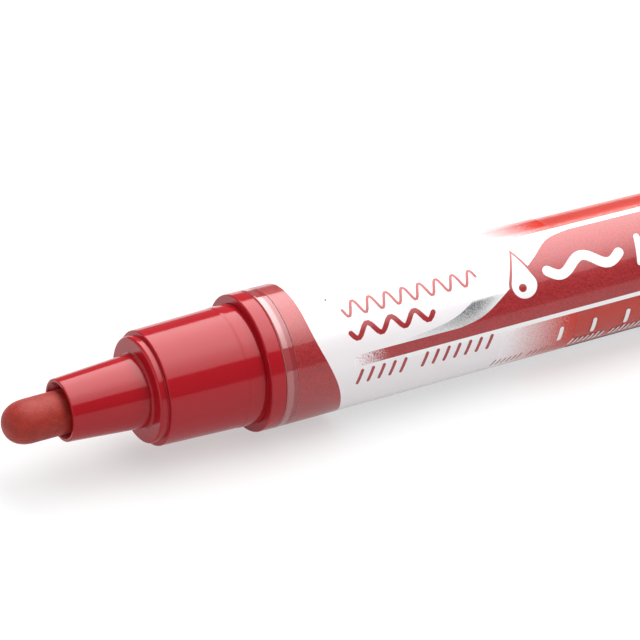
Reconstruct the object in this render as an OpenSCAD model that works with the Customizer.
// Liquid-ink whiteboard marker, lying on its side, nib towards -X, cap posted on the rear end.
// The origin is on the marker's axis at the flange face that stops the cap. +Z is up.
// Distances along the marker are measured from that face, in millimetres.

/* [Nib] */
// Radius of the felt nib
nib_r = 2.55; // [2.3:0.05:2.6]
// How far the nib stands out of the nose
nib_reach = 7; // [6:0.1:7.4]
// Length of the nib, from its round tip to its rear end
nib_len = 26; // [25:0.5:27]

/* [Front section] */
// Radius of the flange that the cap closes against
flange_r = 8; // [7.8:0.05:8.1]
// Thickness of the flange
flange_t = 1.85; // [1.5:0.05:2.2]
// Radius of the straight land that the cap grips
seat_r = 7; // [6.9:0.01:7]
// Length of the straight land
seat_len = 2.05; // [1.5:0.05:3]
// Radius of the cap seat at its front rim, after its draft
rim_r = 6.72; // [6.5:0.01:6.8]
// Distance from the flange face to the front rim
rim_x = 11.95; // [11.5:0.05:12]
// Radius of the collar in front of the rim
collar_r = 6.2; // [5.9:0.05:6.4]
// Distance from the flange face to the collar's front face
collar_x = 13.05; // [12.9:0.05:13.1]
// Radius of the nose where it leaves the collar
nose_base_r = 4.3; // [4.1:0.05:4.35]
// Radius of the nose at its lip
nose_lip_r = 3.64; // [3.5:0.02:3.7]
// Distance from the flange face to the nose's lip
nose_x = 22.7; // [22:0.1:23]
// Length of the skirt inside the barrel
skirt_len = 8; // [7:0.5:9]

/* [Barrel] */
// Outside radius of the barrel at its front lip
barrel_front_r = 8.02; // [7.9:0.01:8.05]
// Outside radius of the barrel at its rear rim
barrel_rear_r = 7.17; // [7.1:0.01:7.3]
// Distance from the flange face to the barrel's rear rim
barrel_end_x = 88; // [86:1:92]
// Wall thickness of the barrel
barrel_wall = 1.1; // [1:0.05:1.2]
// Width of the bare lip in front of the label, and of the bare rim behind it
bare_lip = 1.55; // [1:0.05:2]
// Thickness of the label film
label_t = 0.1; // [0.08:0.01:0.12]

/* [Ink feed] */
// Radius of the feed wick
wick_r = 1.5; // [1.3:0.05:1.5]
// Distance from the flange face to the rear of the regulator
regulator_end_x = 33; // [31:0.5:34]
// Thickness of one regulator fin
fin_t = 0.5; // [0.4:0.05:0.6]
// Distance from one regulator fin to the next
fin_pitch = 1.1; // [1:0.05:1.3]
// Radius of the regulator's fins in the barrel
fin_r = 6.3; // [6:0.05:6.4]
// Thickness of the tank plug
tank_plug_t = 3.8; // [3:0.1:5]

/* [Rear end] */
// Radius of the stub that the cap is posted on, at its root
stub_r = 6.98; // [6.95:0.01:7]
// Length of the stub
stub_len = 12; // [11:0.5:12]
// Thickness of the plug's shoulder behind the barrel
shoulder_t = 1.2; // [1:0.1:1.6]

/* [Cap] */
// Length of the cap
cap_len = 36; // [35.5:0.5:38]
// Outside radius of the cap between its grip ribs
cap_r = 8; // [7.95:0.01:8.05]
// Radius of the cap's mouth
cap_mouth_r = 7.05; // [7.05:0.01:7.1]
// Number of grip ribs round the cap
rib_count = 12; // [12:2:12]
// Length of the grip ribs
rib_len = 18; // [14:1:20]
// Angle of the pocket clip below the horizontal
clip_angle = 38; // [20:1:38]
// Width of the pocket clip
clip_w = 4; // [3:0.5:4]
// Length of the pocket clip
clip_len = 29; // [26:1:30]
// How far the cap has been pulled off the stub
cap_pull = 0; // [0:1:30]

/* [Hidden] */
$fn = 96;

// Clearance between pieces that press together in one body
press_gap = 0.03;
// Clearance of the nib and wick in their sockets
felt_gap = 0.05;

tip_x = -nose_x - nib_reach;
nib_rear_x = tip_x + nib_len;
nib_bore_r = nib_r + felt_gap;
wick_bore_r = wick_r + felt_gap;
nose_recess_r = 3.15;
nose_recess_depth = 1;
cavity_r = 5.2;
skirt_in_r = 5.6;
skirt_end_x = flange_t + skirt_len;

label_front_x = flange_t + bare_lip;
label_rear_x = barrel_end_x - bare_lip;
label_gap = 0.02;
label_recess = label_t + label_gap;

socket_r = 3.6;
socket_x = -7;
core_r = 2.4;
collar_disc_t = 1.6;
small_fin_r = 5.4;
small_fin_count = 5;
slot_w = 0.8;
slot_floor_r = 2.9;
tank_front_x = regulator_end_x + 0.2 + tank_plug_t;
wick_end_x = tank_front_x + 5;

plug_skirt_len = 6;
plug_wall = 1.3;
stub_start_x = barrel_end_x + shoulder_t;
stub_end_x = stub_start_x + stub_len;
tank_rear_x = barrel_end_x - plug_skirt_len - 0.1;

cap_mouth_x = stub_start_x + 0.2;
cap_end_t = 1.4;
seal_r = 4.9;
seal_mouth_depth = 13.2;
seal_end_depth = cap_len - cap_end_t - 0.1;
seal_throat_r = 3.9;
boss_wall = 0.85;
boss_len = 4.6;
// The rib tips reach this radius, so the two lowest ribs stand on the table at cap_r + 0.05
rib_tip_r = (cap_r + 0.05) / cos(180 / rib_count);
rib_bar_r = 0.45;
clip_gap_r = 9.25;
clip_t = 1.05;

// Outside radius of the barrel at distance x
function barrel_r(x) =
    barrel_front_r - (barrel_front_r - barrel_rear_r) * (x - flange_t) / (barrel_end_x - flange_t);
// Inside radius of the barrel at distance x
function bore_r(x) = barrel_r(x) - barrel_wall;
// Points along an arc in [radius, distance] form
function arc(centre, r, from, to, steps) =
    [for (i = [0:steps]) let (a = from + (to - from) * i / steps) centre + r * [cos(a), sin(a)]];

// Turns a closed [radius, distance] outline round the marker's axis
module lathe(outline) {
    rotate([0, 90, 0])
        rotate_extrude()
            polygon(outline);
}

module bullet_nib() {
    color("firebrick")
        lathe(concat(
            [[0, nib_rear_x], [nib_r - 0.3, nib_rear_x], [nib_r, nib_rear_x - 0.3]],
            arc([0, tip_x + nib_r], nib_r, 0, -90, 12)));
}

// The outside runs from the nose's lip back to the flange, and the inside runs forward again
module front_section() {
    color("crimson")
        lathe([
            [nose_lip_r - 0.12, -nose_x],
            [nose_lip_r, -nose_x + 0.15],
            [nose_base_r, -collar_x - 0.1],
            [nose_base_r + 0.12, -collar_x],
            [collar_r - 0.28, -collar_x],
            [collar_r, -collar_x + 0.25],
            [collar_r, -rim_x - 0.25],
            [rim_r - 0.17, -rim_x - 0.15],
            [rim_r, -rim_x],
            [seat_r - 0.05, -seat_len - 0.15],
            [seat_r, -seat_len],
            [seat_r, 0],
            [flange_r - 0.12, 0],
            [flange_r, 0.15],
            [flange_r, flange_t - 0.15],
            [flange_r - 0.12, flange_t],
            [bore_r(flange_t) - press_gap, flange_t],
            [bore_r(skirt_end_x) - press_gap, skirt_end_x - 0.4],
            [bore_r(skirt_end_x) - press_gap - 0.3, skirt_end_x],
            [skirt_in_r, skirt_end_x],
            [skirt_in_r, 0],
            [cavity_r, 0],
            [cavity_r, -rim_x + 0.8],
            [nib_bore_r + 0.5, -rim_x],
            [nib_bore_r, -rim_x - 0.4],
            [nib_bore_r, -nose_x + nose_recess_depth],
            [nose_recess_r, -nose_x]
        ]);
}

// One disc of the regulator
module fin(x, r) {
    translate([x, 0, 0])
        rotate([0, 90, 0])
            cylinder(r = r, h = fin_t);
}

// Solid of the core tube, its nib socket and the disc that locates it in the front section
module regulator_core() {
    lathe([
        [0, socket_x],
        [socket_r, socket_x],
        [socket_r, 0],
        [skirt_in_r - press_gap, 0],
        [skirt_in_r - press_gap, collar_disc_t],
        [core_r, collar_disc_t],
        [core_r, regulator_end_x],
        [0, regulator_end_x]
    ]);
}

// The nib's socket and the wick's bore, in one cutter
module regulator_bore() {
    lathe([
        [0, socket_x - 1],
        [nib_bore_r, socket_x - 1],
        [nib_bore_r, nib_rear_x],
        [wick_bore_r, nib_rear_x],
        [wick_bore_r, regulator_end_x + 1],
        [0, regulator_end_x + 1]
    ]);
}

// The fins hold back spare ink between them, and one slot through them lets air pass
module ink_regulator() {
    fins_start_x = skirt_end_x + 0.6;
    fin_count = floor((regulator_end_x - fins_start_x) / fin_pitch);
    color("ivory")
        difference() {
            union() {
                regulator_core();
                for (i = [0:small_fin_count - 1])
                    fin(collar_disc_t + 1 + i * fin_pitch, small_fin_r);
                for (i = [0:fin_count - 1])
                    fin(fins_start_x + i * fin_pitch, fin_r);
            }
            regulator_bore();
            translate([collar_disc_t + 0.5, -slot_w / 2, slot_floor_r])
                cube([regulator_end_x, slot_w, fin_r]);
        }
}

module feed_wick() {
    color("mistyrose")
        translate([nib_rear_x, 0, 0])
            rotate([0, 90, 0])
                cylinder(r = wick_r, h = wick_end_x - nib_rear_x);
}

module tank_plug() {
    front_x = tank_front_x - tank_plug_t;
    color("whitesmoke")
        lathe([
            [wick_bore_r, front_x],
            [bore_r(front_x) - press_gap - 0.2, front_x],
            [bore_r(front_x) - press_gap, front_x + 0.3],
            [bore_r(tank_front_x) - press_gap, tank_front_x],
            [5, tank_front_x],
            [4.6, tank_front_x - 1.6],
            [wick_bore_r + 0.9, tank_front_x - 1.6],
            [wick_bore_r + 0.9, tank_front_x],
            [wick_bore_r, tank_front_x]
        ]);
}

module ink_barrel() {
    color("gainsboro", 0.5)
        lathe([
            [bore_r(flange_t), flange_t],
            [barrel_r(flange_t) - 0.1, flange_t],
            [barrel_r(flange_t), flange_t + 0.12],
            [barrel_r(label_front_x), label_front_x],
            [barrel_r(label_front_x) - label_recess, label_front_x],
            [barrel_r(label_rear_x) - label_recess, label_rear_x],
            [barrel_r(label_rear_x), label_rear_x],
            [barrel_r(barrel_end_x), barrel_end_x - 0.12],
            [barrel_r(barrel_end_x) - 0.1, barrel_end_x],
            [bore_r(barrel_end_x), barrel_end_x]
        ]);
}

module label_sleeve() {
    front_x = label_front_x + label_gap;
    rear_x = label_rear_x - label_gap;
    color("white")
        lathe([
            [barrel_r(front_x) - label_t, front_x],
            [barrel_r(front_x), front_x],
            [barrel_r(rear_x), rear_x],
            [barrel_r(rear_x) - label_t, rear_x]
        ]);
}

// The ink fills the tank, round the rear end of the wick
module liquid_ink() {
    front_x = tank_front_x + 0.05;
    color("darkred")
        lathe([
            [wick_bore_r, front_x],
            [bore_r(front_x) - press_gap, front_x],
            [bore_r(tank_rear_x) - press_gap, tank_rear_x],
            [0, tank_rear_x],
            [0, wick_end_x + 0.1],
            [wick_bore_r, wick_end_x + 0.1]
        ]);
}

// Hollow plug: skirt in the barrel, shoulder against its rim, and the stub that holds the cap
module end_plug() {
    skirt_r = bore_r(barrel_end_x) - press_gap;
    skirt_x = barrel_end_x - plug_skirt_len;
    stub_tip_r = stub_r - 0.24;
    color("crimson")
        lathe([
            [skirt_r - plug_wall, skirt_x],
            [skirt_r - 0.25, skirt_x],
            [skirt_r, skirt_x + 0.4],
            [skirt_r, barrel_end_x],
            [barrel_rear_r - 0.02, barrel_end_x],
            [barrel_rear_r - 0.02, stub_start_x - 0.1],
            [barrel_rear_r - 0.12, stub_start_x],
            [stub_r, stub_start_x],
            [stub_r, stub_start_x + 2.3],
            [stub_tip_r, stub_end_x - 0.7],
            [stub_tip_r - 0.2, stub_end_x - 0.2],
            [stub_tip_r - 0.7, stub_end_x],
            [0, stub_end_x],
            [0, stub_end_x - plug_wall],
            [skirt_r - plug_wall, stub_end_x - plug_wall]
        ]);
}

// Distances in the cap are depths from its mouth
module cap_wall() {
    boss_in_r = seal_r + press_gap;
    inner_end = cap_len - cap_end_t;
    lathe([
        [cap_mouth_r + 0.25, 0],
        [cap_r - 0.15, 0],
        [cap_r, 0.2],
        [cap_r, rib_len + 3],
        [cap_r - 0.5, cap_len - 1],
        [cap_r - 0.8, cap_len - 0.3],
        [cap_r - 1.3, cap_len],
        [0, cap_len],
        [0, inner_end],
        [boss_in_r, inner_end],
        [boss_in_r, inner_end - boss_len],
        [boss_in_r + boss_wall, inner_end - boss_len],
        [boss_in_r + boss_wall, inner_end],
        [cap_mouth_r - 0.75, inner_end],
        [cap_mouth_r - 0.65, seal_mouth_depth + 2],
        [cap_mouth_r - 0.2, seal_mouth_depth + 0.4],
        [cap_mouth_r, 3.5],
        [cap_mouth_r, 0.3]
    ]);
}

module grip_ribs() {
    for (i = [0:rib_count - 1])
        rotate([(i + 0.5) * 360 / rib_count, 0, 0])
            translate([1.6, 0, -(rib_tip_r - rib_bar_r)])
                rotate([0, 90, 0])
                    cylinder(r = rib_bar_r, h = rib_len, $fn = 32);
}

// Side view of the clip, as [depth, radius], from its root on the cap's end to its free tip
module pocket_clip() {
    tip = cap_len - clip_len;
    outer_r = clip_gap_r + clip_t;
    rotate([-clip_angle, 0, 0])
        translate([0, 0, -clip_w / 2])
            linear_extrude(clip_w)
                polygon([
                    [cap_len, cap_r - 3],
                    [cap_len, outer_r - 0.9],
                    [cap_len - 0.4, outer_r - 0.25],
                    [cap_len - 1.2, outer_r],
                    [tip + 1, outer_r - 0.15],
                    [tip, outer_r - 0.6],
                    [tip, clip_gap_r - 0.1],
                    [tip + 1.6, clip_gap_r - 0.75],
                    [tip + 3.4, clip_gap_r - 0.1],
                    [cap_len - 4.2, clip_gap_r],
                    [cap_len - 3.6, clip_gap_r - 0.5],
                    [cap_len - 3.4, cap_r - 1]
                ]);
}

module cap_shell() {
    color("crimson")
        translate([cap_mouth_x + cap_pull, 0, 0])
            union() {
                cap_wall();
                grip_ribs();
                pocket_clip();
            }
}

// Soft cup that closes round the nose when the cap is on
module cap_inner_seal() {
    color("whitesmoke")
        translate([cap_mouth_x + cap_pull, 0, 0])
            lathe([
                [nose_base_r + 0.1, seal_mouth_depth],
                [nose_base_r + 0.7, seal_mouth_depth],
                [seal_r, seal_mouth_depth + 0.6],
                [seal_r, seal_end_depth],
                [0, seal_end_depth],
                [0, seal_end_depth - 1.1],
                [seal_throat_r, seal_end_depth - 1.1],
                [seal_throat_r, seal_mouth_depth + 9.5]
            ]);
}

bullet_nib();
front_section();
ink_regulator();
feed_wick();
tank_plug();
ink_barrel();
label_sleeve();
liquid_ink();
end_plug();
cap_shell();
cap_inner_seal();
